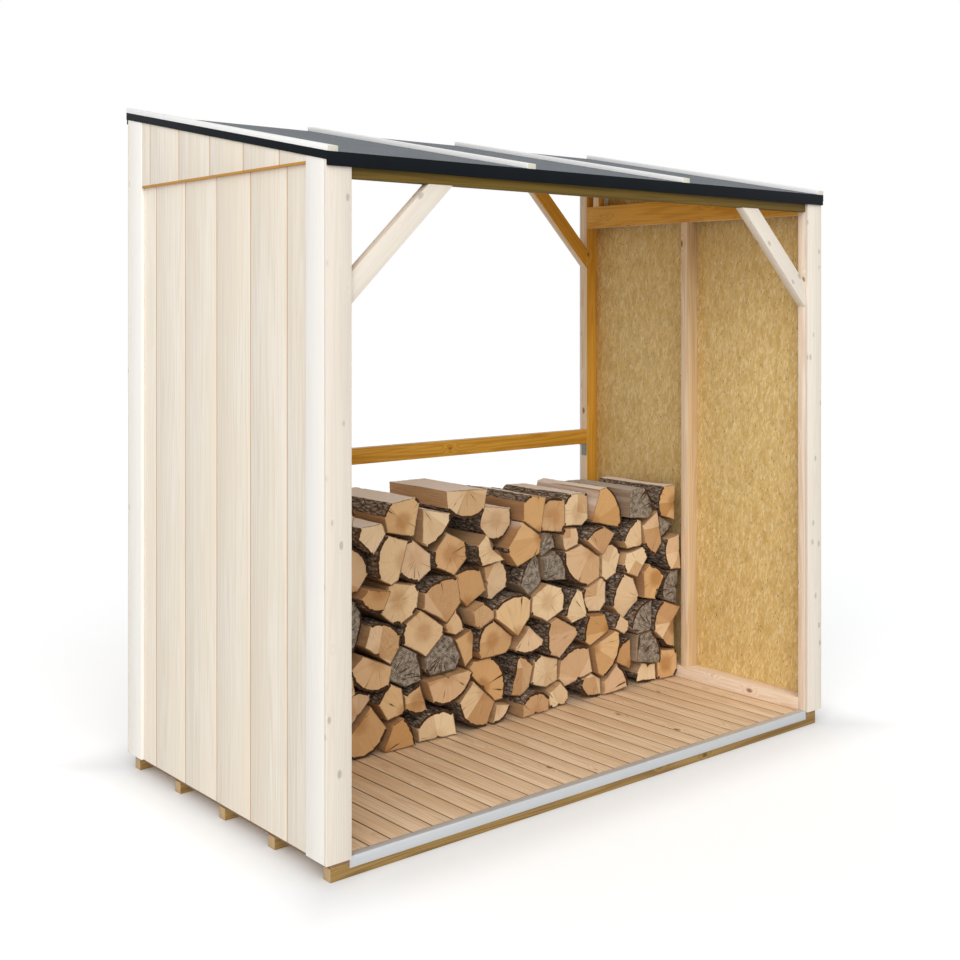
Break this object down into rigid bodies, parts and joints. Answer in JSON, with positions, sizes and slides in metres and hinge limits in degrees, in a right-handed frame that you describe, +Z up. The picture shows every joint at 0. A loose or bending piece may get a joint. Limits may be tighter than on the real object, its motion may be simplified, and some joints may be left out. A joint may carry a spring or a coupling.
{
  "type": "log store",
  "caption": "Open fronted log store with clad side walls, sloping felt roof, boarded floor and a stack of split firewood.",
  "frame": {"origin": "on the ground, in the middle of the plan, under the roof's outline", "axes": "+X to the right seen from the front, +Y to the back, +Z up; the front is -Y, the low side of the roof"},
  "size_m": [2.266, 1.254, 2.2835],
  "materials": {
    "primed_cladding": "primed timber panel outside, strand board inside",
    "white_boards": "planed and primed timber",
    "frame_timber": "planed pale timber",
    "treated_timber": "pressure treated, sawn",
    "deck_timber": "planed, oiled brown",
    "aluminium": "mill finish",
    "galvanised": "zinc coated",
    "roof_felt": "mineral faced felt",
    "black_edge": "satin black",
    "split_log": "split beech and birch with bark"
  },
  "bodies": {
    "root": {"back_beam": "frame_timber", "back_cover_boards": "white_boards", "back_fascia": "black_edge", "back_left_brace": "frame_timber", "back_rail": "frame_timber", "back_right_brace": "frame_timber", "bearers": "treated_timber", "deck_boards": "deck_timber", "firewood_course_1": "split_log", "firewood_course_2": "split_log", "firewood_course_3": "split_log", "firewood_course_4": "split_log", "firewood_course_5": "split_log", "firewood_course_6": "split_log", "firewood_course_7": "split_log", "front_beam": "frame_timber", "front_cover_boards": "white_boards", "front_fascia": "black_edge", "front_left_brace": "frame_timber", "front_right_brace": "frame_timber", "left_back_post": "frame_timber", "left_bottom_plate": "frame_timber", "left_corner_boards": "white_boards", "left_front_post": "frame_timber", "left_gable_panel": "primed_cladding", "left_gable_studs": "frame_timber", "left_middle_stud": "frame_timber", "left_top_plate": "frame_timber", "left_wall_panel": "primed_cladding", "rafters": "frame_timber", "rail_brackets": "galvanised", "right_back_post": "frame_timber", "right_bottom_plate": "frame_timber", "right_corner_boards": "white_boards", "right_front_post": "frame_timber", "right_gable_panel": "primed_cladding", "right_gable_studs": "frame_timber", "right_middle_stud": "frame_timber", "right_top_plate": "frame_timber", "right_wall_panel": "primed_cladding", "roof_battens": "white_boards", "roof_felt": "roof_felt", "roof_sheet": "frame_timber", "sill_strip": "aluminium", "verge_strips": "black_edge"}
  },
  "joints": []
}
